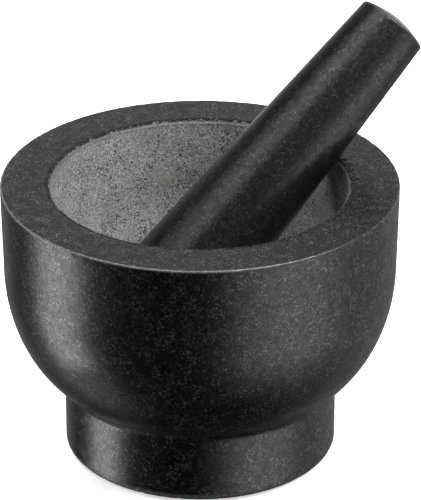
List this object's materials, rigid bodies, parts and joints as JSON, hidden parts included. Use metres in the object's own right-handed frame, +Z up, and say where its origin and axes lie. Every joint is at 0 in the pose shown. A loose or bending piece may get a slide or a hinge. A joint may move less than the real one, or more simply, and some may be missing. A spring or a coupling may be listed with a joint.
{
  "type": "mortar and pestle",
  "caption": "Turned stone mortar with a flat rim and round foot, its tapered stone pestle leaning loose in the bowl.",
  "frame": {"origin": "middle of the foot pad's underside, on the mortar's axis", "axes": "+Z up along the mortar's axis; the pestle leans towards +X and +Y, so +X is its handle side seen from the front (-Y)"},
  "size_m": [0.1902, 0.18, 0.1991],
  "materials": {
    "granite": "honed, near-black, with fine pale needle grain; ground rough and light grey inside the bowl",
    "pad": "matt closed-cell foam"
  },
  "bodies": {
    "mortar": {"mortar": "granite", "foot_pad": "pad"},
    "pestle": {"pestle": "granite"}
  },
  "joints": [
    {"name": "pestle_lift", "type": "slide", "parent": "mortar", "child": "pestle", "axis": [0, 0, 1], "range_m": [0, 0.14]}
  ]
}
